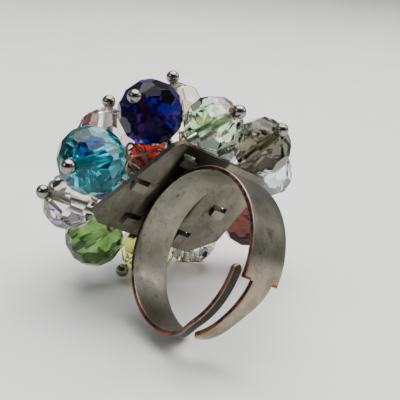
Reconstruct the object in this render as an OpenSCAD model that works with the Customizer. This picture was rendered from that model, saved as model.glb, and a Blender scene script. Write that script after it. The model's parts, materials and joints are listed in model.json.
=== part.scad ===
// Cluster cocktail ring: an adjustable open shank, a soldered back plate, a domed bead
// screen with folded claws, and faceted glass beads that spin on ball headpins.
// Ring frame: finger axis along Y, crown up along Z. The whole ring is then laid down on
// its side, the way it rests on a table, with the centre of the finger bore at the origin.

/* [Shank] */
// Radius of the finger bore
bore_r = 9; // [7.5:0.1:10.5]
// Thickness of the metal strip
strip_t = 0.6; // [0.4:0.05:0.8]
// Width of the metal strip along the finger
strip_w = 5.2; // [4:0.1:6]
// Angle from the crown to the bending line of each arm
bend_at = 38; // [34:1:44]
// Angle at which the pronged arm has narrowed down to its prong
prong_root = 130; // [120:1:136]
// Angle over which the pronged arm narrows
prong_neck = 18; // [8:1:24]
// Angle of the prong's tip
prong_tip = 212; // [200:1:214]
// Width of the prong
prong_w = 1.2; // [0.8:0.1:1.4]
// How far the prong is bent sideways, along the finger
prong_splay = 1.8; // [1.6:0.1:2.4]
// Angle at which the full width of the tongued arm ends
shoulder_at = 205; // [200:1:212]
// Angle of the tongue's tip
tongue_tip = 144; // [142:1:160]
// Width of the tongue at the shoulders
tongue_w = 2.9; // [2:0.1:3]
// Width of the tongue at its tip
tongue_end_w = 2; // [1.4:0.1:2.4]

/* [Back plate] */
// Size of the plate across the finger
plate_x = 13.6; // [12.8:0.1:14]
// Size of the plate along the finger
plate_y = 19; // [18:0.1:20]
// Corner chamfer of the plate
plate_chamfer = 1.5; // [0.5:0.1:2]
// How far the plate's near edge slopes back across its width
plate_slope = 3.6; // [2:0.1:4]
// Thickness of the plate
plate_t = 0.7; // [0.5:0.05:0.8]
// Offset of the plate across the finger
plate_side = -0.4; // [-0.6:0.1:0]
// Offset of the plate and the screen along the finger
plate_shift = -0.9; // [-1.5:0.1:0.5]

/* [Bead screen] */
// Radius of the dome's sphere
dome_r = 7.5; // [7.3:0.1:7.6]
// Outer radius of the screen's skirt
skirt_r = 5.9; // [5.7:0.1:6]
// Thickness of the screen
screen_t = 0.5; // [0.4:0.05:0.6]
// Width of each folded claw
claw_w = 1.9; // [1.4:0.1:2.2]
// Length of each claw's folded foot
claw_foot = 1.1; // [0.9:0.1:1.3]

/* [Beads and headpins] */
// Radius of the headpin wire
wire_r = 0.4; // [0.3:0.01:0.42]
// Radial clearance of the bead on its wire
bore_gap = 0.09; // [0.05:0.01:0.1]
// Radius of the headpin's ball
ball_r = 0.85; // [0.7:0.05:0.9]
// Facets around each bead
facets = 10; // [6:1:12]

/* [Hidden] */
$fn = 64;

// How the ring lies on the table: turns about X, Y and Z
LYING = [51, 57.2, 172.8];
METAL = [0.52, 0.51, 0.49];
WIRE = [0.6, 0.59, 0.57];
strip_r = bore_r + strip_t;
half_w = strip_w / 2;
// Gap between two bodies at a bending line, in degrees
seam = 0.6;
// Bent strips stay this far inside the surfaces of the arm they grow from
inset = 0.02;
plate_z = strip_r + 0.05;
screen_z = plate_z + plate_t;
dome_z = 6.5;
claw_t = screen_t;
// Places of the claws: x of the side away from the foot, then y of the middle
CLAW_AT = [[-0.6, 5.6], [4.1, 3.5], [-5.7, 2], [-5.4, -3.9], [-1, -6.9], [4, -4.7]];
// Latitudes of the rings of facet corners on a bead
ROWS = [-68, -41, -14, 14, 41, 68];

// Bead plan: centre x, y, z, radius, then the headpin's turn about Z and rise from level
PLAN = [
    [-0.7, 12.8, 10, 3.9, 83, -34],
    [7.1, 9.3, 13.5, 3.5, 92, -4],
    [11.3, 2.5, 14.2, 3.75, -5, 30],
    [10.1, -5.1, 13.3, 3.75, 27, -12],
    [7.7, -12.1, 15.5, 3.65, -45, 22],
    [1, -16.8, 13.8, 3.6, -92, 0],
    [-6, -15.1, 15.4, 3.5, -125, 35],
    [-9.8, -9, 13.1, 3.8, 163, -27],
    [-9.2, -1.1, 13.6, 3.8, 177, -30],
    [-7, 7, 14.5, 3.9, 109, -17],
    [-0.3, 7, 18.7, 3.7, 167, 45],
    [-6.7, -0.7, 20.8, 3.5, 150, 47],
    [6.6, 4.4, 20, 3.5, 25, 50],
    [8.2, -3.5, 20.8, 3.8, -20, 50],
    [2.3, -9.5, 20.2, 3.7, -75, 50],
    [-5.3, -8.1, 19.5, 3.8, -130, 50],
    [0.9, -0.5, 21.9, 3.9, 60, 88]
];
TINT = [
    [0.25, 0.72, 0.78], [0.9, 0.9, 0.88], [0.62, 0.82, 0.5], [0.88, 0.83, 0.4],
    [0.86, 0.88, 0.88], [0.62, 0.2, 0.22], [0.85, 0.9, 0.92], [0.5, 0.5, 0.42],
    [0.75, 0.88, 0.72], [0.12, 0.14, 0.5], [0.9, 0.8, 0.78], [0.82, 0.76, 0.66],
    [0.62, 0.45, 0.72], [0.2, 0.55, 0.52], [0.82, 0.58, 0.28], [0.9, 0.92, 0.93],
    [0.85, 0.36, 0.22]
];

// Bead centre, radius and the unit direction of its headpin
function centre(i) = [PLAN[i][0], PLAN[i][1], PLAN[i][2]];
function radius(i) = PLAN[i][3];
function aim(i) = [
    cos(PLAN[i][5]) * cos(PLAN[i][4]),
    cos(PLAN[i][5]) * sin(PLAN[i][4]),
    sin(PLAN[i][5])
];
// Distance from the bead's centre to its flat pole
function pole(i) = radius(i) * sin(ROWS[len(ROWS) - 1]);
// The headpin bends here, just behind the bead
function elbow(i) = centre(i) - (radius(i) + 0.6) * aim(i);
// From the dome's centre towards the elbow, kept on the dome
DOME = [0, plate_shift, dome_z];
MAX_LEAN = 46;
function reach(i) = elbow(i) - DOME;
function lean(i) = min(MAX_LEAN, atan2(norm([reach(i)[0], reach(i)[1]]), reach(i)[2]));
function around(i) = atan2(reach(i)[1], reach(i)[0]);
function dome_dir(i) = [
    sin(lean(i)) * cos(around(i)),
    sin(lean(i)) * sin(around(i)),
    cos(lean(i))
];
function ease(t) = let (u = min(1, max(0, t))) u * u * (3 - 2 * u);

// Lay the ring down
module lay() {
    rotate(LYING) children();
}

// Turn local Z to point from a to b and move to a
module along(a, b) {
    d = b - a;
    translate(a)
        rotate([0, acos(d[2] / norm(d)), atan2(d[1], d[0])])
            children();
}

// A straight round bar from a to b
module bar(a, b, r) {
    along(a, b) cylinder(h = norm(b - a), r = r, $fn = 32);
}

// A piece of the shank's ring between two angles from the crown
module arc_strip(from, to) {
    rotate([-90, -90, 0])
        rotate([0, 0, from])
            rotate_extrude(angle = to - from, $fn = 180)
                translate([bore_r, -half_w])
                    square([strip_t, strip_w]);
}

// A bent ribbon: each station is [angle, middle, half width], with the angles rising
module ribbon(stations) {
    n = len(stations);
    points = [
        for (s = stations)
            for (c = [[0, -1], [0, 1], [1, 1], [1, -1]])
                let (r = c[0] == 0 ? bore_r + inset : strip_r - inset)
                    [r * sin(s[0]), s[1] + c[1] * s[2], r * cos(s[0])]
    ];
    sides = [
        for (i = [0 : n - 2])
            for (k = [0 : 3])
                let (a = 4 * i + k, b = 4 * i + (k + 1) % 4)
                    for (f = [[a, a + 4, b], [b, a + 4, b + 4]]) f
    ];
    last = 4 * (n - 1);
    polyhedron(points, concat([[0, 1, 2, 3]], sides, [[last + 3, last + 2, last + 1, last]]));
}

// Half width of a ribbon with a round tip, this many degrees before its end
function round_tip(full, degrees_left) =
    let (left = degrees_left * PI / 180 * bore_r)
        left >= full ? full : max(0.12, sqrt(full * full - (full - left) * (full - left)));

// Angles of the stations, closer together at the round tip
function steps(from, to) = [
    for (t = [0 : 0.05 : 0.9]) from + (to - from) * t,
    for (t = [0.92 : 0.015 : 0.995]) from + (to - from) * t,
    to
];

module shank_middle() {
    color(METAL) lay() arc_strip(seam / 2 - bend_at, bend_at - seam / 2);
}

module prong_arm() {
    neck_at = prong_root - prong_neck;
    widest = half_w - inset;
    prong = [
        for (a = steps(neck_at - 1, prong_tip))
            let (
                wanted = prong_w / 2 + (widest - prong_w / 2) * (1 - ease((a - neck_at) / prong_neck)),
                bend = prong_splay * ease((a - prong_root) / 35)
            )
                [a, widest - wanted + bend, round_tip(wanted, prong_tip - a)]
    ];
    color(METAL) lay() union() {
        arc_strip(bend_at + seam / 2, neck_at);
        ribbon(prong);
    }
}

module tongue_arm() {
    stops = steps(shoulder_at + 1, tongue_tip);
    tongue = [
        for (i = [len(stops) - 1 : -1 : 0])
            let (a = stops[i], taper = ease((shoulder_at - a) / 34))
                [
                    a,
                    0.8 * taper - 0.25,
                    round_tip(
                        (tongue_w + (tongue_end_w - tongue_w) * taper) / 2,
                        a - tongue_tip
                    )
                ]
    ];
    color(METAL) lay() union() {
        arc_strip(shoulder_at, 360 - bend_at - seam / 2);
        ribbon(tongue);
    }
}

// Solder that fills the narrow gap beside the line where the shank meets the plate
module solder_seam() {
    solder_x = 5;
    solder_y = strip_w - 0.5;
    color([0.45, 0.43, 0.41]) lay() difference() {
        translate([-solder_x / 2, -solder_y / 2, bore_r + 0.2])
            cube([solder_x, solder_y, plate_z - bore_r - 0.2]);
        rotate([90, 0, 0])
            cylinder(h = 2 * strip_w, r = strip_r, center = true, $fn = 180);
    }
}

// Pierced plate between the shank and the screen, with a slot for every claw
module back_plate() {
    x = plate_x / 2;
    y = plate_y / 2;
    c = plate_chamfer;
    slot_gap = 0.25;
    color(METAL) lay() difference() {
        translate([plate_side, plate_shift, plate_z])
            linear_extrude(plate_t)
                polygon([
                    [c / 2 - x, -y], [x - 2 * c, -y], [x, 2 * c - y], [x, y - c],
                    [x - 0.8 * c, y], [0.5 * c - x, y - plate_slope], [-x, y - plate_slope - 0.5 * c],
                    [-x, c / 2 - y]
                ]);
        for (at = CLAW_AT)
            translate([at[0] - 1.6 * slot_gap, at[1] - slot_gap - claw_w / 2, plate_z - 1])
                cube([claw_t + 2.2 * slot_gap, claw_w + 2 * slot_gap, plate_t + 2]);
    }
}

// Domed screen with a hole for every headpin, and claws folded under the plate
module bead_screen() {
    inner_r = dome_r - screen_t;
    inner_skirt = skirt_r - screen_t;
    outer_lean = asin(skirt_r / dome_r);
    inner_lean = asin(inner_skirt / inner_r);
    bands = 5;
    profile = concat(
        [for (k = [0 : bands]) dome_r * [sin(outer_lean * k / bands), cos(outer_lean * k / bands)]],
        [[skirt_r, screen_z - dome_z], [inner_skirt, screen_z - dome_z]],
        [for (k = [bands : -1 : 0]) inner_r * [sin(inner_lean * k / bands), cos(inner_lean * k / bands)]]
    );
    foot_z = plate_z - claw_t - 0.05;
    color(METAL) lay() difference() {
        union() {
            translate(DOME) rotate_extrude($fn = 96) polygon(profile);
            for (at = CLAW_AT)
                translate([at[0], at[1] - claw_w / 2, foot_z]) {
                    cube([claw_t, claw_w, screen_z + 0.6 - foot_z]);
                    cube([claw_foot, claw_w, claw_t]);
                }
        }
        for (i = [0 : len(PLAN) - 1])
            along(DOME, DOME + dome_dir(i))
                translate([0, 0, dome_r - 1.5])
                    cylinder(h = 3, r = wire_r + 0.1, $fn = 32);
    }
}

// Faceted bead with a bore for its headpin
module bead(i) {
    r = radius(i);
    rows = len(ROWS);
    corners = [
        for (j = [0 : rows - 1])
            for (k = [0 : facets - 1])
                let (turn = (k + j / 2) * 360 / facets)
                    r * [cos(ROWS[j]) * cos(turn), cos(ROWS[j]) * sin(turn), sin(ROWS[j])]
    ];
    sides = [
        for (j = [0 : rows - 2])
            for (k = [0 : facets - 1])
                let (
                    a = j * facets + k,
                    b = j * facets + (k + 1) % facets,
                    c = a + facets,
                    d = b + facets
                )
                    for (f = [[a, c, b], [b, c, d]]) f
    ];
    bottom = [for (k = [0 : facets - 1]) k];
    top = [for (k = [facets - 1 : -1 : 0]) (rows - 1) * facets + k];
    color(TINT[i], 0.6) lay() along(centre(i), centre(i) + aim(i)) difference() {
        polyhedron(corners, concat([bottom], sides, [top]));
        cylinder(h = 2 * r + 2, r = wire_r + bore_gap, center = true, $fn = 32);
    }
}

// Ball headpin: ball outside the bead, wire through it, bent down into the screen
module pin(i) {
    tip = centre(i) + (pole(i) + ball_r - 0.08) * aim(i);
    above = DOME + (dome_r + 0.4) * dome_dir(i);
    inside = DOME + (dome_r - screen_t - 0.7) * dome_dir(i);
    bend_r = 1.15 * wire_r;
    color(WIRE) lay() union() {
        translate(tip) sphere(r = ball_r, $fn = 48);
        bar(tip, elbow(i), wire_r);
        translate(elbow(i)) sphere(r = bend_r, $fn = 32);
        if (lean(i) < MAX_LEAN) {
            bar(elbow(i), inside, wire_r);
        } else {
            bar(elbow(i), above, wire_r);
            translate(above) sphere(r = bend_r, $fn = 32);
            bar(above, inside, wire_r);
        }
    }
}

shank_middle();
prong_arm();
tongue_arm();
solder_seam();
back_plate();
bead_screen();
bead(0);  // bead_aqua
bead(1);  // bead_clear_side
bead(2);  // bead_peridot
bead(3);  // bead_citrine
bead(4);  // bead_clear_low
bead(5);  // bead_garnet
bead(6);  // bead_ice
bead(7);  // bead_smoky
bead(8);  // bead_lime
bead(9);  // bead_cobalt
bead(10);  // bead_blush
bead(11);  // bead_champagne
bead(12);  // bead_amethyst
bead(13);  // bead_teal
bead(14);  // bead_topaz
bead(15);  // bead_crystal
bead(16);  // bead_coral
pin(0);  // pin_aqua
pin(1);  // pin_clear_side
pin(2);  // pin_peridot
pin(3);  // pin_citrine
pin(4);  // pin_clear_low
pin(5);  // pin_garnet
pin(6);  // pin_ice
pin(7);  // pin_smoky
pin(8);  // pin_lime
pin(9);  // pin_cobalt
pin(10);  // pin_blush
pin(11);  // pin_champagne
pin(12);  // pin_amethyst
pin(13);  // pin_teal
pin(14);  // pin_topaz
pin(15);  // pin_crystal
pin(16);  // pin_coral
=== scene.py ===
import json
import math

import bmesh
import bpy
import numpy as np
from mathutils import Euler, Matrix, Vector
from mathutils import noise as mnoise


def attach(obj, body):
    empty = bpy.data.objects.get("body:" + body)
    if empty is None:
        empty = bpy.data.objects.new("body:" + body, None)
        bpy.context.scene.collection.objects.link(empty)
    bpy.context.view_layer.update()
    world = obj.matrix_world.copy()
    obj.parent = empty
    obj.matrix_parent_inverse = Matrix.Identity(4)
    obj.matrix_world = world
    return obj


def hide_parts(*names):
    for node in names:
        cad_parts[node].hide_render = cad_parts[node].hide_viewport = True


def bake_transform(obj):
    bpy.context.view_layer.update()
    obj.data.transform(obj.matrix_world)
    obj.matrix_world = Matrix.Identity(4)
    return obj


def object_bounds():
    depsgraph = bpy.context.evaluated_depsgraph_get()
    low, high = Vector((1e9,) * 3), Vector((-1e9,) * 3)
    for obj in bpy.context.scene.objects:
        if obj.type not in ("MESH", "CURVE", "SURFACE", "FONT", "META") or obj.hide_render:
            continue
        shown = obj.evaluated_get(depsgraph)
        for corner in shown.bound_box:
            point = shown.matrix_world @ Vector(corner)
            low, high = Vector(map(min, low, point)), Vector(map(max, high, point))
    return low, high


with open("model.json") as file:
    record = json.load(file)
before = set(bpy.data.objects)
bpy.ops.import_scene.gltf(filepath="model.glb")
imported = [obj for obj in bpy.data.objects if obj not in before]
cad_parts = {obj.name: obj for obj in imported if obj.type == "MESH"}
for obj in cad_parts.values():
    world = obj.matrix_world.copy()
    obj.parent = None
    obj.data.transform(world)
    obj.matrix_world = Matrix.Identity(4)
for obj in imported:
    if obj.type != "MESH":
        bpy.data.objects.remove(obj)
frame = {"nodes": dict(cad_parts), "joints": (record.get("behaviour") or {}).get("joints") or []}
CAD_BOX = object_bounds()
MM = 0.001

# The ring frame has the finger axis along Y and the crown up along Z. It lies in the row
# frame by these three turns.
LYING = Euler([math.radians(a) for a in (51, 57.2, 172.8)], "XYZ").to_matrix()
TO_RING = LYING.transposed()


def row(p):
    """A point in the ring frame, in mm, as a point in the row frame, in metres."""
    return LYING @ Vector(p) * MM


def turn(v):
    """A direction in the ring frame as one in the row frame."""
    return LYING @ Vector(v)


# ---------------------------------------------------------------- camera, floor and light
# The camera looks at the split end of the shank, from directions and a place in the ring frame
camera = bpy.data.objects.new("camera", bpy.data.cameras.new("camera"))
bpy.context.scene.collection.objects.link(camera)
camera.data.sensor_width = 36
camera.data.lens = 72
camera.data.clip_start = 0.002
camera.data.clip_end = 20
right = turn((-0.599, -0.707, -0.377)).normalized()
ahead = turn((0.338, -0.650, 0.681)).normalized()
down = ahead.cross(right).normalized()
right = down.cross(ahead).normalized()
view = Matrix((right, -down, -ahead)).transposed().to_4x4()
view.translation = row((-34.2, 60.0, -56.7))
camera.matrix_world = view
bpy.context.scene.camera = camera


def node_maker(tree):
    """A function that adds a node to a tree, with inputs from values or sockets."""

    def node(kind, inputs=None, **settings):
        n = tree.nodes.new(kind)
        for k, v in settings.items():
            setattr(n, k, v)
        for k, v in (inputs or {}).items():
            if isinstance(v, bpy.types.NodeSocket):
                tree.links.new(v, n.inputs[k])
            else:
                n.inputs[k].default_value = v
        return n

    return node


def material(name):
    """A new material: returns it, its shader and functions that add a node and a link."""
    mat = bpy.data.materials.new(name)
    mat.use_nodes = True
    tree = mat.node_tree
    return mat, tree.nodes["Principled BSDF"], node_maker(tree), tree.links.new


def ramp(node, fac, stops):
    """A colour ramp: stops are (place, (r, g, b))."""
    r = node("ShaderNodeValToRGB", {"Fac": fac})
    while len(r.color_ramp.elements) < len(stops):
        r.color_ramp.elements.new(0.5)
    for e, (at, col) in zip(r.color_ramp.elements, stops):
        e.position = at
        e.color = (*col, 1)
    return r.outputs["Color"]


def grey(node, fac, stops):
    """A ramp of plain values."""
    return ramp(node, fac, [(at, (v, v, v)) for at, v in stops])


def mix(node, fac, a, b):
    """Mixes two colours."""
    m = node("ShaderNodeMix", data_type="RGBA")
    for socket, v in ((m.inputs[0], fac), (m.inputs[6], a), (m.inputs[7], b)):
        if isinstance(v, bpy.types.NodeSocket):
            m.id_data.links.new(v, socket)
        else:
            socket.default_value = v if isinstance(v, float) else (*v, 1)
    return m.outputs[2]


def noise(node, coords, scale, detail=4.0, rough=0.55):
    """A noise pattern, as a value."""
    inputs = {"Vector": coords, "Scale": scale, "Detail": detail, "Roughness": rough}
    return node("ShaderNodeTexNoise", inputs).outputs["Fac"]


def maths(node, operation, *values):
    """The result of one sum, from values or sockets."""
    return node("ShaderNodeMath", dict(enumerate(values)), operation=operation).outputs[0]


def rescale(node, value, low, high, to_low, to_high, smooth=False):
    """A value moved from one range to another, held at its ends."""
    inputs = {
        "Value": value,
        "From Min": low,
        "From Max": high,
        "To Min": to_low,
        "To Max": to_high,
    }
    curve = "SMOOTHSTEP" if smooth else "LINEAR"
    return node("ShaderNodeMapRange", inputs, interpolation_type=curve).outputs["Result"]


def add_mesh(name, verts, faces, mat):
    """A smooth mesh object from vertices in the row frame, in metres."""
    mesh = bpy.data.meshes.new(name)
    mesh.from_pydata([tuple(v) for v in verts], [], faces)
    mesh.materials.append(mat)
    mesh.polygons.foreach_set("use_smooth", [True] * len(mesh.polygons))
    obj = bpy.data.objects.new(name, mesh)
    bpy.context.scene.collection.objects.link(obj)
    return obj


# The floor is level, at the lowest point of the ring as it lies
lowest = CAD_BOX[0][2]
WIDE = 3.0
mat_floor, shader, node, link = material("tabletop")
coords = node("ShaderNodeTexCoord").outputs["Object"]
drift = noise(node, coords, 60.0, 3.0)
paint = ramp(node, drift, [(0.3, (0.80, 0.798, 0.785)), (0.7, (0.85, 0.848, 0.835))])
link(paint, shader.inputs["Base Color"])
shader.inputs["Roughness"].default_value = 0.45
shader.inputs["Specular IOR Level"].default_value = 0.35
floor = add_mesh(
    "tabletop",
    [(-WIDE, -WIDE, lowest), (WIDE, -WIDE, lowest), (WIDE, WIDE, lowest), (-WIDE, WIDE, lowest)],
    [(0, 1, 2, 3)],
    mat_floor,
)


def area_light(name, at, size, power, tint=(1, 1, 1)):
    """A round softbox aimed at the ring's centre."""
    data = bpy.data.lights.new(name, "AREA")
    data.shape = "DISK"
    data.size = size
    data.energy = power
    data.color = tint
    obj = bpy.data.objects.new(name, data)
    bpy.context.scene.collection.objects.link(obj)
    obj.location = at
    obj.rotation_euler = (-Vector(at)).to_track_quat("-Z", "Y").to_euler()


area_light("softbox_top", (0.03, 0.10, 0.42), 0.62, 5.0, (1, 0.99, 0.97))
area_light("softbox_right", (0.38, 0.10, 0.22), 0.16, 0.45)
area_light("softbox_left", (-0.36, -0.22, 0.26), 0.14, 0.25, (0.95, 0.98, 1))
# Soft studio surroundings: bright overhead, dimmer at the sides, with a black flag behind the
# camera that stops short of the horizon
FLAG_TOWARD = (-0.10, -0.93, 0.36)
world = bpy.data.worlds.new("studio")
world.use_nodes = True
tree = world.node_tree
back_light = tree.nodes["Background"]
node = node_maker(tree)
toward = node("ShaderNodeTexCoord").outputs["Generated"]
facing = node("ShaderNodeVectorMath", {0: toward, 1: FLAG_TOWARD}, operation="DOT_PRODUCT")
height = node("ShaderNodeSeparateXYZ", {"Vector": toward}).outputs["Z"]
shade = rescale(node, facing.outputs["Value"], 0.50, 0.86, 1.0, 0.06, smooth=True)
sky = rescale(node, height, 0.0, 0.9, 0.26, 0.46)
above = rescale(node, height, 0.08, 0.30, 1.0, shade, smooth=True)
tree.links.new(maths(node, "MULTIPLY", above, sky), back_light.inputs["Strength"])
back_light.inputs["Color"].default_value = (0.84, 0.86, 0.88, 1)
bpy.context.scene.world = world


# ---------------------------------------------------------------- worn metal
# How far each vertex of the strip is bare metal at a cut, beige, dark with painted shade and grime,
# and red
MARKS = ("cut", "pale", "grime_and_shade", "rust")


def worn_metal(name, light, dark, stain, roughness, stained=0.54, strip=False, painted_gap_shade=False):
    """Thin grey plating that is scratched, pitted and stained, with copper at the cut edges."""
    mat, shader, node, link = material(name)
    coords = node("ShaderNodeTexCoord").outputs["Object"]
    uv = node("ShaderNodeUVMap", uv_map="strip").outputs["UV"]
    lengthwise = node("ShaderNodeMapping", {"Vector": uv, "Scale": (0.10, 3.4, 1.0)})
    rolled = noise(node, lengthwise.outputs["Vector"], 2.2, 6.0, 0.7)
    cloud = noise(node, coords, 240.0, 6.0, 0.62)
    blotch = noise(node, coords, 560.0, 6.0, 0.72)
    pits = noise(node, coords, 2600.0, 3.0, 0.6)
    base = ramp(node, cloud, [(0.34, dark), (0.64, light)])
    worn_dull = tuple(c * 0.55 for c in light)
    in_pits = tuple(c * 0.25 for c in dark)
    base = mix(node, grey(node, rolled, [(0.42, 0.0), (0.72, 0.6)]), base, worn_dull)
    base = mix(node, grey(node, blotch, [(stained, 0.0), (stained + 0.10, 0.8)]), base, stain)
    base = mix(node, grey(node, pits, [(0.625, 0.0), (0.69, 0.7)]), base, in_pits)
    rough = grey(node, blotch, [(0.35, roughness - 0.08), (0.7, roughness + 0.25)])
    if painted_gap_shade:
        # painted shade beside the solder, a dark band along the line where the shank meets the
        # plate
        to_ring = {
            "Vector": coords,
            "Rotation": TO_RING.to_euler(),
            "Scale": (1000, 1000, 1000),
        }
        ring = node("ShaderNodeMapping", to_ring).outputs["Vector"]
        apart = node("ShaderNodeSeparateXYZ", {"Vector": ring})
        across = maths(node, "ABSOLUTE", apart.outputs["Y"])
        wander = maths(node, "MULTIPLY_ADD", cloud, 0.9, across)
        band = rescale(node, wander, 3.7, 4.2, 1.0, 0.0)
        along = rescale(node, apart.outputs["X"], 1.5, 5.0, 1.0, 0.0)
        # near-black painted shade, strongest near the middle of the shank's edge
        gap_shade_mask = maths(node, "MULTIPLY", band, along)
        base = mix(node, gap_shade_mask, base, (0.035, 0.026, 0.02))
    if strip:
        cut, pale, grime_and_shade, rust = (
            node("ShaderNodeAttribute", attribute_name=key).outputs["Fac"] for key in MARKS
        )
        streaks = grey(node, rolled, [(0.35, 0.0), (0.65, 1.0)])
        specks = grey(node, blotch, [(0.46, 0.0), (0.57, 0.8)])
        fair = mix(node, streaks, (0.37, 0.325, 0.245), (0.19, 0.162, 0.115))
        fair = mix(node, specks, fair, (0.24, 0.19, 0.13))
        base = mix(node, pale, base, fair)
        # painted shade on the prong's outer face and grime on the tongue arm: near-black over the
        # plating
        base = mix(node, grime_and_shade, base, mix(node, cloud, (0.016, 0.014, 0.010), (0.050, 0.046, 0.034)))
        bright = grey(node, blotch, [(0.40, 0.0), (0.62, 1.0)])
        red = mix(node, bright, (0.16, 0.040, 0.026), (0.34, 0.125, 0.075))
        red = mix(node, grey(node, cloud, [(0.42, 0.0), (0.60, 1.0)]), (0.06, 0.024, 0.018), red)
        bare = mix(node, rust, (0.035, 0.026, 0.022), red)
        ragged = maths(node, "MULTIPLY", cut, noise(node, coords, 1300.0, 4.0))
        base = mix(node, grey(node, ragged, [(0.26, 0.0), (0.40, 1.0)]), base, bare)
        rough = mix(node, grime_and_shade, rough, (0.5, 0.5, 0.5))
    shader.inputs["Metallic"].default_value = 1.0
    link(base, shader.inputs["Base Color"])
    link(rough, shader.inputs["Roughness"])
    height = maths(node, "ADD", rolled, pits)
    bump = node("ShaderNodeBump", {"Height": height, "Strength": 0.35, "Distance": 0.00004})
    link(bump.outputs["Normal"], shader.inputs["Normal"])
    return mat


STRIP_METAL = ((0.310, 0.296, 0.238), (0.170, 0.160, 0.122), (0.10, 0.075, 0.055))
PLATE_METAL = ((0.235, 0.219, 0.170), (0.115, 0.105, 0.080), (0.10, 0.078, 0.058))
SCREEN_METAL = ((0.275, 0.260, 0.212), (0.140, 0.130, 0.102), (0.13, 0.10, 0.08))
SOLDER_METAL = ((0.30, 0.29, 0.27), (0.12, 0.11, 0.10), (0.06, 0.045, 0.035))
mat_strip = worn_metal("plated_strip", *STRIP_METAL, 0.36, 0.585, strip=True)
# the plate's metal carries a painted shade band where the shank meets it
mat_plate = worn_metal("plated_plate", *PLATE_METAL, 0.45, 0.56, painted_gap_shade=True)
mat_screen = worn_metal("plated_screen", *SCREEN_METAL, 0.40)
mat_solder = worn_metal("solder", *SOLDER_METAL, 0.5)


def polished(name):
    """Polished headpin metal with faint handling marks."""
    mat, shader, node, link = material(name)
    coords = node("ShaderNodeTexCoord").outputs["Object"]
    smear = noise(node, coords, 900.0, 5.0, 0.6)
    steel = ramp(node, smear, [(0.3, (0.18, 0.167, 0.150)), (0.7, (0.31, 0.29, 0.265))])
    link(steel, shader.inputs["Base Color"])
    link(grey(node, smear, [(0.3, 0.26), (0.7, 0.13)]), shader.inputs["Roughness"])
    shader.inputs["Metallic"].default_value = 1.0
    marks = noise(node, coords, 2400.0, 3.0)
    bump = node("ShaderNodeBump", {"Height": marks, "Strength": 0.12, "Distance": 0.00003})
    link(bump.outputs["Normal"], shader.inputs["Normal"])
    return mat


mat_pin = polished("headpin")

# ---------------------------------------------------------------- the strip of the shank
# The bore's radius, and the strip's thickness and half width, in mm
BORE, THICK, HALF = 9.0, 0.6, 2.6
# Half widths of the prong and of the tongue at each end, and how far the prong leans, in mm
PRONG_HALF, TONGUE_WIDE, TONGUE_NARROW, PRONG_LEAN = 0.6, 1.45, 1.0, 1.8
# Angles from the crown, in degrees. The prong narrows over NECK before its root
ROOT, NECK, PRONG_TIP, SHOULDER, TONGUE_TIP = 130, 18, 212, 205, 144


def ease(t):
    """A smooth step from 0 to 1."""
    t = min(1.0, max(0.0, t))
    return t * t * (3 - 2 * t)


def section(low, high):
    """A strip's outline with worn corners, as (share of the thickness, y, cut)."""
    corner = 0.15
    c = min(corner, (high - low) * 0.3)
    arc = [(1 - math.cos(a), math.sin(a)) for a in (math.pi / 6, math.pi / 3, math.pi / 2)]
    cuts = (0.15, 0.55, 1.0)
    lift = corner / THICK
    side = [(lift * u, high - c + c * v, k) for (u, v), k in zip(arc, cuts)]
    side += [(1 - t, y, k) for t, y, k in side[::-1]]
    other = [(1 - t, low + high - y, k) for t, y, k in side]
    across = np.linspace(low + c, high - c, 9)
    return [(0.0, y, 0.0) for y in across] + side + [(1.0, y, 0.0) for y in across[::-1]] + other


def root_wear(angle):
    """Where the plating has worn off beside the near edge, at the root of the prong."""
    return 0.85 * ease((angle - 110) / 8) * ease((141 - angle) / 10)


def strip(name, stations, looks, caps):
    """A bent strip, from stations of (angle, low y, high y, bare end).

    looks(angle, outer) gives how pale, how dark with painted shade and grime, and how red it is
    there.
    """
    verts, uv = [], []
    marks = {key: [] for key in MARKS}
    for angle, low, high, end in stations:
        turned = math.radians(angle)
        s, c = math.sin(turned), math.cos(turned)
        for t, y, edge in section(low, high):
            wave = mnoise.noise(Vector((2.1 * s, y * 0.25, 2.1 * c)))
            r = BORE + 0.005 + (THICK - 0.005) * t + 0.03 * wave * (t - 0.2)
            verts.append(row((r * s, y, r * c)))
            uv.append((turned * BORE, y))
            worn = root_wear(angle) * ease((y - high + 1.5) / 0.6) if t > 0.6 else 0.0
            marks["cut"].append(max(edge, worn, end if abs(y + 0.25) > 1.5 else 0.0))
            # the painted shade and grime are kept light on the rounded edges, which stay as lighter
            # lines
            for key, value in zip(MARKS[1:], looks(angle, t > 0.6)):
                marks[key].append(value * (0.15 if key == "grime_and_shade" and edge > 0 else 1.0))
    n = len(section(0, 1))
    last = (len(stations) - 1) * n
    faces = []
    for i in range(len(stations) - 1):
        for k in range(n):
            a, b = i * n + k, i * n + (k + 1) % n
            faces.append((a, a + n, b + n, b))
    if caps:
        faces.append(tuple(range(last + n - 1, last - 1, -1)))
    obj = add_mesh(name, verts, faces, mat_strip)
    mesh = obj.data
    for key, values in marks.items():
        mesh.attributes.new(key, "FLOAT", "POINT").data.foreach_set("value", values)
    layer = mesh.uv_layers.new(name="strip")
    for loop in mesh.loops:
        layer.data[loop.index].uv = uv[loop.vertex_index]
    if stations[-1][0] < stations[0][0]:
        mesh.flip_normals()
    mesh.set_sharp_from_angle(angle=math.radians(42))
    return obj


def tip_half(full, degrees_left):
    """Half the width of a strip with a round tip, this many degrees before its end."""
    left = math.radians(degrees_left) * BORE
    return full if left >= full else max(0.1, math.sqrt(full * full - (full - left) ** 2))


def even(a, b, step):
    """Evenly spaced angles, about a step apart."""
    return list(np.linspace(a, b, max(2, int(abs(b - a) / step) + 1)))


# The crown part ends at this angle, where each arm begins
JOIN = 26


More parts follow.
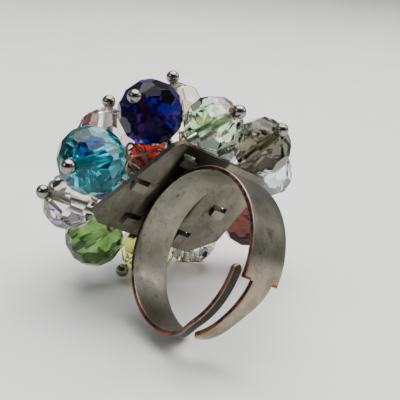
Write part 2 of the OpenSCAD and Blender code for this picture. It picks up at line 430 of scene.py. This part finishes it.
def rust_at(angle):
    """Where the cut edges have turned red, by angle from the crown."""
    angle = angle % 360
    return ease((angle - 62) / 26) * ease((312 - angle) / 12)


def prong_looks(angle, outer):
    """Painted shade on the outside of the prong, and darkening inside the strip towards it."""
    # painted shade on the outer face; inside, the strip only grows darker towards the prong
    grime_and_shade = ease((angle - 126) / 16) if outer else 0.55 * ease((angle - 42) / 50)
    return 0.0, grime_and_shade, rust_at(angle)


def tongue_looks(angle, outer):
    """A beige tongue, and grime on the outside of the strip above it."""
    grime = 0.62 * ease((angle - 214) / 10) * ease((335 - angle) / 20)
    pale = ease((214 - angle) / 4)
    return pale if outer else 0.0, grime if outer else 0.0, rust_at(angle)


crown_stations = [(a, -HALF, HALF, 0.0) for a in even(-JOIN, JOIN, 1)]
middle = strip("shank_crown", crown_stations, prong_looks, False)

prong = [(a, -HALF, HALF, 0.0) for a in even(JOIN, ROOT - NECK, 1.5)]
for a in even(ROOT - NECK + 1.5, PRONG_TIP - 5, 1.5) + even(PRONG_TIP - 4.6, PRONG_TIP, 0.35):
    wanted = PRONG_HALF + (HALF - PRONG_HALF) * (1 - ease((a - ROOT + NECK) / NECK))
    lean = PRONG_LEAN * ease((a - ROOT) / 35)
    half = tip_half(wanted, PRONG_TIP - a)
    prong.append((a, HALF - wanted + lean - half, HALF - wanted + lean + half, 0.0))
prong_arm = strip("shank_prong_arm", prong, prong_looks, True)

tongue = [(a, -HALF, HALF, 0.0) for a in even(360 - JOIN, SHOULDER + 3, 1.5)]
for past, end in ((2.2, 0.0), (1.6, 1.0), (0.1, 1.0)):
    tongue.append((SHOULDER + past, -HALF, HALF, end))
tongue_angles = [SHOULDER, SHOULDER - 0.3]
tongue_angles += even(SHOULDER - 1.6, TONGUE_TIP + 7, 1.5)
tongue_angles += even(TONGUE_TIP + 6.6, TONGUE_TIP, 0.35)
for a in tongue_angles:
    taper = ease((SHOULDER - a) / 34)
    mid = 0.8 * taper - 0.25
    half = tip_half(TONGUE_WIDE - (TONGUE_WIDE - TONGUE_NARROW) * taper, a - TONGUE_TIP)
    tongue.append((a, mid - half, mid + half, 1.0 if a == SHOULDER else 0.0))
tongue_arm = strip("shank_tongue_arm", tongue, tongue_looks, True)

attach(middle, "crown")
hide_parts("shank_middle")
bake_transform(prong_arm)
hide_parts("prong_arm")
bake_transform(tongue_arm)
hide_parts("tongue_arm")


# ---------------------------------------------------------------- plate, screen and solder
def dress(name, mat, width):
    """Gives a CAD node a material, a small bevel and the attributes that the metal reads."""
    obj = frame["nodes"][name]
    mesh = obj.data
    mesh.materials.clear()
    mesh.materials.append(mat)
    layer = mesh.uv_layers.new(name="strip")
    flat = [TO_RING @ v.co / MM for v in mesh.vertices]
    for loop in mesh.loops:
        p = flat[loop.vertex_index]
        layer.data[loop.index].uv = (p.x, p.y)
    bevel = obj.modifiers.new("soft_edges", "BEVEL")
    bevel.width = width * MM
    bevel.segments = 2
    bevel.limit_method = "ANGLE"
    bevel.angle_limit = math.radians(40)


dress("back_plate", mat_plate, 0.06)
dress("bead_screen", mat_screen, 0.05)
dress("solder_seam", mat_solder, 0.03)

# ---------------------------------------------------------------- beads and headpins
# Radii of the headpins' wire, the beads' bores and the headpins' balls, in mm
WIRE, HOLE, BALL = 0.4, 0.49, 0.85
# A bead ends in a flat at this latitude. The ball sinks a little into it, and the wire bends
# this far beyond the other end, in mm
POLE_LATITUDE, BALL_SUNK, ELBOW_GAP = 68, 0.08, 0.6
# The screen's dome, in mm, and how far from its top a headpin may go in
DOME = Vector((0, -0.9, 6.5))
DOME_R = 7.5
MAX_LEAN = math.radians(46)
# How deep the facets cut, as a share of a bead's radius
DEEP = 0.94
# Two cuts: rows of facets as (latitude, facets around, share of a facet turned, depth)
FINE_CUT = [(-90, 1, 0.0, 0.985), (-63, 10, 0.5, 0.99), (-37, 10, 0.0, 1.0), (-12, 10, 0.5, 1.0)]
FINE_CUT += [(-lat, count, 0.5 - phase, depth) for lat, count, phase, depth in FINE_CUT[::-1]]
BOLD_CUT = [(-90, 1, 0.0, 0.985), (-57, 8, 0.0, 0.985), (-19, 8, 0.5, 1.0)]
BOLD_CUT += [(-lat, count, 0.5 - phase, depth) for lat, count, phase, depth in BOLD_CUT[::-1]]


def local_frame(direction, spin):
    """A turn that takes Z to a direction, after a spin about Z."""
    return direction.to_track_quat("Z", "Y").to_matrix().to_4x4() @ Matrix.Rotation(spin, 4, "Z")


def faceted(radius, rows):
    """A faceted bead about Z, in mm: the solid inside its facet planes, within the radius."""
    bm = bmesh.new()
    bmesh.ops.create_cube(bm, size=4 * radius)
    for lat, count, phase, depth in rows:
        for k in range(count):
            lon = 2 * math.pi * (k + phase) / count
            la = math.radians(lat)
            n = Vector((math.cos(la) * math.cos(lon), math.cos(la) * math.sin(lon), math.sin(la)))
            geom = bm.verts[:] + bm.edges[:] + bm.faces[:]
            at = n * radius * DEEP * depth
            cut = bmesh.ops.bisect_plane(
                bm, geom=geom, dist=1e-5, plane_co=at, plane_no=n, clear_outer=True
            )
            rim = [e for e in cut["geom_cut"] if isinstance(e, bmesh.types.BMEdge)]
            if rim:
                bmesh.ops.contextual_create(bm, geom=rim)
    bmesh.ops.remove_doubles(bm, verts=bm.verts, dist=1e-4)
    far = max(v.co.length for v in bm.verts)
    bmesh.ops.scale(bm, vec=[radius / far] * 3, verts=bm.verts)
    bmesh.ops.recalc_face_normals(bm, faces=bm.faces)
    mesh = bpy.data.meshes.new("bead")
    bm.to_mesh(mesh)
    bm.free()
    return mesh


def glass(name, tint, second, share=0.4, film=0.0, film_ior=1.6, ior=1.54, gloss=1.0):
    """Faceted glass, tinted in drifts of two colours. A film (in nm) gives a rainbow coating."""
    mat, shader, node, link = material(name)
    coords = node("ShaderNodeTexCoord").outputs["Object"]
    drift = noise(node, coords, 210.0, 2.0, 0.5)
    colour = ramp(node, drift, [(share - 0.08, tint), (share + 0.12, second)])
    link(colour, shader.inputs["Base Color"])
    scuffs = noise(node, coords, 1400.0, 3.0)
    link(grey(node, scuffs, [(0.45, 0.012), (0.75, 0.062)]), shader.inputs["Roughness"])
    shader.inputs["Transmission Weight"].default_value = 1.0
    shader.inputs["IOR"].default_value = ior
    shader.inputs["Specular Tint"].default_value = (gloss, gloss, gloss, 1)
    shader.inputs["Thin Film Thickness"].default_value = film
    shader.inputs["Thin Film IOR"].default_value = film_ior
    return mat


def bore_glass():
    """The ground wall of a bead's bore."""
    mat, shader, node, link = material("bore_wall")
    coords = node("ShaderNodeTexCoord").outputs["Object"]
    grain = noise(node, coords, 1800.0, 4.0)
    ground = ramp(node, grain, [(0.3, (0.82, 0.82, 0.80)), (0.7, (0.95, 0.95, 0.94))])
    link(ground, shader.inputs["Base Color"])
    shader.inputs["Roughness"].default_value = 0.3
    shader.inputs["Transmission Weight"].default_value = 0.9
    shader.inputs["IOR"].default_value = 1.5
    return mat


GLASS = {
    "aqua": dict(tint=(0.02, 0.62, 0.73), second=(0.006, 0.26, 0.34), ior=1.46, gloss=0.45),
    "clear_side": dict(tint=(0.86, 0.85, 0.81), second=(0.60, 0.55, 0.47), share=0.52),
    "peridot": dict(
        tint=(0.06, 0.15, 0.02),
        second=(0.27, 0.44, 0.17),
        share=0.5,
        ior=1.5,
        gloss=0.6,
    ),
    "citrine": dict(tint=(0.76, 0.62, 0.08), second=(0.62, 0.66, 0.18)),
    "clear_low": dict(tint=(0.93, 0.95, 0.94), second=(0.78, 0.80, 0.76)),
    "garnet": dict(tint=(0.19, 0.06, 0.05), second=(0.10, 0.035, 0.035), ior=1.46, gloss=0.5),
    "ice": dict(tint=(0.94, 0.98, 0.99), second=(0.82, 0.90, 0.92)),
    "smoky": dict(tint=(0.32, 0.30, 0.22), second=(0.11, 0.10, 0.07), ior=1.5, gloss=0.5),
    "lime": dict(
        tint=(0.96, 0.98, 0.96),
        second=(0.42, 0.80, 0.28),
        share=0.48,
        film=540.0,
        film_ior=1.6,
    ),
    "cobalt": dict(
        tint=(0.0016, 0.0016, 0.12),
        second=(0.06, 0.010, 0.04),
        share=0.55,
        ior=1.40,
        gloss=0.15,
    ),
    "blush": dict(tint=(0.97, 0.92, 0.90), second=(0.84, 0.72, 0.66)),
    "champagne": dict(tint=(0.88, 0.80, 0.68), second=(0.62, 0.52, 0.40)),
    "amethyst": dict(tint=(0.46, 0.26, 0.70), second=(0.28, 0.14, 0.46)),
    "teal": dict(tint=(0.05, 0.46, 0.40), second=(0.03, 0.26, 0.30), film=520.0),
    "topaz": dict(tint=(0.84, 0.46, 0.10), second=(0.60, 0.28, 0.06)),
    "crystal": dict(tint=(0.97, 0.98, 0.98), second=(0.88, 0.91, 0.92), film=470.0),
    "coral": dict(tint=(0.30, 0.016, 0.008), second=(0.15, 0.012, 0.008)),
}
FINE = ("aqua", "peridot", "cobalt", "garnet", "teal", "topaz", "coral")
mat_bore = bore_glass()


def bead(name, centre, aim, radius, spin):
    """A faceted bead with a bore along its headpin, in place."""
    mesh = faceted(radius, FINE_CUT if name in FINE else BOLD_CUT)
    obj = bpy.data.objects.new("glass_bead_" + name, mesh)
    bpy.context.scene.collection.objects.link(obj)
    obj.data.materials.append(glass("glass_" + name, **GLASS[name]))
    obj.data.materials.append(mat_bore)
    tube = bmesh.new()
    bmesh.ops.create_cone(
        tube, cap_ends=True, segments=24, radius1=HOLE, radius2=HOLE, depth=3 * radius
    )
    tool_mesh = bpy.data.meshes.new("drill")
    tube.to_mesh(tool_mesh)
    tube.free()
    tool_mesh.materials.append(mat_bore)
    tool = bpy.data.objects.new("drill", tool_mesh)
    bpy.context.scene.collection.objects.link(tool)
    cutter = obj.modifiers.new("bore", "BOOLEAN")
    cutter.operation = "DIFFERENCE"
    cutter.solver = "EXACT"
    cutter.material_mode = "TRANSFER"
    cutter.object = tool
    edges = obj.modifiers.new("edges", "BEVEL")
    edges.width = 0.035
    edges.segments = 1
    edges.limit_method = "ANGLE"
    edges.angle_limit = math.radians(10)
    made = bpy.data.meshes.new_from_object(obj.evaluated_get(bpy.context.evaluated_depsgraph_get()))
    obj.modifiers.clear()
    obj.data = made
    bpy.data.objects.remove(tool)
    place = Matrix.Translation(centre) @ local_frame(aim, spin) @ Matrix.Scale(MM, 4)
    made.transform(place)
    for p in made.polygons:
        p.use_smooth = p.material_index == 1
    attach(obj, "bead_" + name)
    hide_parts("bead_" + name)


def sweep(name, path, radii, sides, mat):
    """A round bar of changing radius along a path, both in metres."""
    verts, faces = [], []
    side = None
    for i, p in enumerate(path):
        t = (path[min(i + 1, len(path) - 1)] - path[max(i - 1, 0)]).normalized()
        if side is None:
            side = t.orthogonal().normalized()
        side = (side - side.dot(t) * t).normalized()
        other = t.cross(side)
        for k in range(sides):
            a = 2 * math.pi * k / sides
            verts.append(p + radii[i] * (math.cos(a) * side + math.sin(a) * other))
    for i in range(len(path) - 1):
        for k in range(sides):
            a, b = i * sides + k, i * sides + (k + 1) % sides
            faces.append((a, b, b + sides, a + sides))
    faces.append(tuple(range(sides - 1, -1, -1)))
    faces.append(tuple(range((len(path) - 1) * sides, len(path) * sides)))
    return add_mesh(name, verts, faces, mat)


def bend(a, corner, b, count):
    """Points round a bend from a to b, by way of a corner."""
    return [
        (1 - t) ** 2 * a + 2 * t * (1 - t) * corner + t * t * b
        for t in (k / (count - 1) for k in range(count))
    ]


def headpin(name, centre, aim, radius):
    """A ball, a straight wire through the bead and a bend into the screen. Ring frame, in mm."""
    pole = radius * math.sin(math.radians(POLE_LATITUDE))
    ball = centre + (pole + BALL - BALL_SUNK) * aim
    elbow = centre - (radius + ELBOW_GAP) * aim
    reach = elbow - DOME
    level = math.hypot(reach.x, reach.y)
    lean = min(MAX_LEAN, math.atan2(level, reach.z))
    outward = math.sin(lean) / level
    out = Vector((outward * reach.x, outward * reach.y, math.cos(lean)))
    above = DOME + (DOME_R + 0.4) * out
    inside = DOME + (DOME_R - 1.2) * out
    low = above.lerp(elbow, 0.25 if (above - elbow).length > 1.5 else 0.1)
    path, radii = [], []
    for k in range(15):
        a = math.pi * k / 14 * 0.86
        path.append(ball + BALL * math.cos(a) * aim)
        radii.append(max(0.02, BALL * math.sin(a)))
    wire = [ball - BALL * aim]
    wire += [ball.lerp(elbow, t) for t in (0.25, 0.5, 0.75)]
    wire += bend(elbow + 0.5 * aim, elbow, elbow + 0.5 * (above - elbow).normalized(), 7)
    wire += bend(low, above, above.lerp(inside, 0.3), 5) + [inside]
    path += wire
    radii += [WIRE] * len(wire)
    placed = [row(p) for p in path]
    obj = sweep("ball_headpin_" + name, placed, [r * MM for r in radii], 24, mat_pin)
    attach(obj, "crown")
    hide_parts("pin_" + name)


def spline(points, count):
    """A smooth path through points, in the ring frame."""
    pts = [2 * points[0] - points[1]] + points + [2 * points[-1] - points[-2]]
    path = []
    for i in range(1, len(pts) - 2):
        p0, p1, p2, p3 = pts[i - 1 : i + 3]
        for k in range(count):
            t = k / count
            square = 2 * p0 - 5 * p1 + 4 * p2 - p3
            cube = 3 * p1 - p0 - 3 * p2 + p3
            path.append(0.5 * (2 * p1 + (p2 - p0) * t + square * t**2 + cube * t**3))
    return path + [points[-1]]


mat_binding, shader, node, link = material("binding_wire")
coords = node("ShaderNodeTexCoord").outputs["Object"]
tarnish = noise(node, coords, 700.0, 5.0)
copper = ramp(node, tarnish, [(0.35, (0.16, 0.10, 0.07)), (0.65, (0.50, 0.33, 0.24))])
link(copper, shader.inputs["Base Color"])
scuffs = noise(node, coords, 1500.0)
link(grey(node, scuffs, [(0.3, 0.42), (0.7, 0.24)]), shader.inputs["Roughness"])
shader.inputs["Metallic"].default_value = 1.0

# Thin binding wire that pokes out between the plate and the beads
BINDING_R = 0.16
BINDING = {
    "binding_wire_near": [
        (0.6, 4.9, 11.0),
        (-0.9, 7.6, 10.75),
        (-2.2, 7.9, 11.1),
        (-3.3, 6.7, 11.2),
        (-4.4, 5.1, 11.4),
        (-3.8, 3.5, 11.8),
    ],
    "binding_wire_loop": [
        (-0.4, 4.8, 11.5),
        (-1.5, 7.2, 11.4),
        (-2.6, 8.3, 12.2),
        (-3.0, 7.5, 13.2),
        (-2.4, 5.4, 13.2),
        (-1.6, 4.0, 12.8),
    ],
    "binding_wire_side": [
        (-4.6, 1.6, 11.7),
        (-6.2, 2.9, 11.9),
        (-6.7, 2.9, 12.6),
        (-6.6, 1.9, 12.7),
        (-6.0, 2.2, 11.9),
        (-4.9, 0.4, 12.0),
    ],
}
for name, points in BINDING.items():
    path = spline([Vector(p) for p in points], 8)
    wire = sweep(name, [row(p) for p in path], [BINDING_R * MM] * len(path), 12, mat_binding)
    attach(wire, "crown")

# Each bead is built round its joint, with its headpin
for i, joint in enumerate(j for j in frame["joints"] if j["name"].endswith("_spin")):
    name = joint["name"][: -len("_spin")]
    centre = Vector(joint["pos_m"])
    aim = Vector(joint["axis"]).normalized()
    cad = frame["nodes"]["bead_" + name].data
    radius = max((v.co - centre).length for v in cad.vertices) / MM
    bead(name, centre, aim, radius, 0.37 * i)
    headpin(name, TO_RING @ centre / MM, TO_RING @ aim, radius)
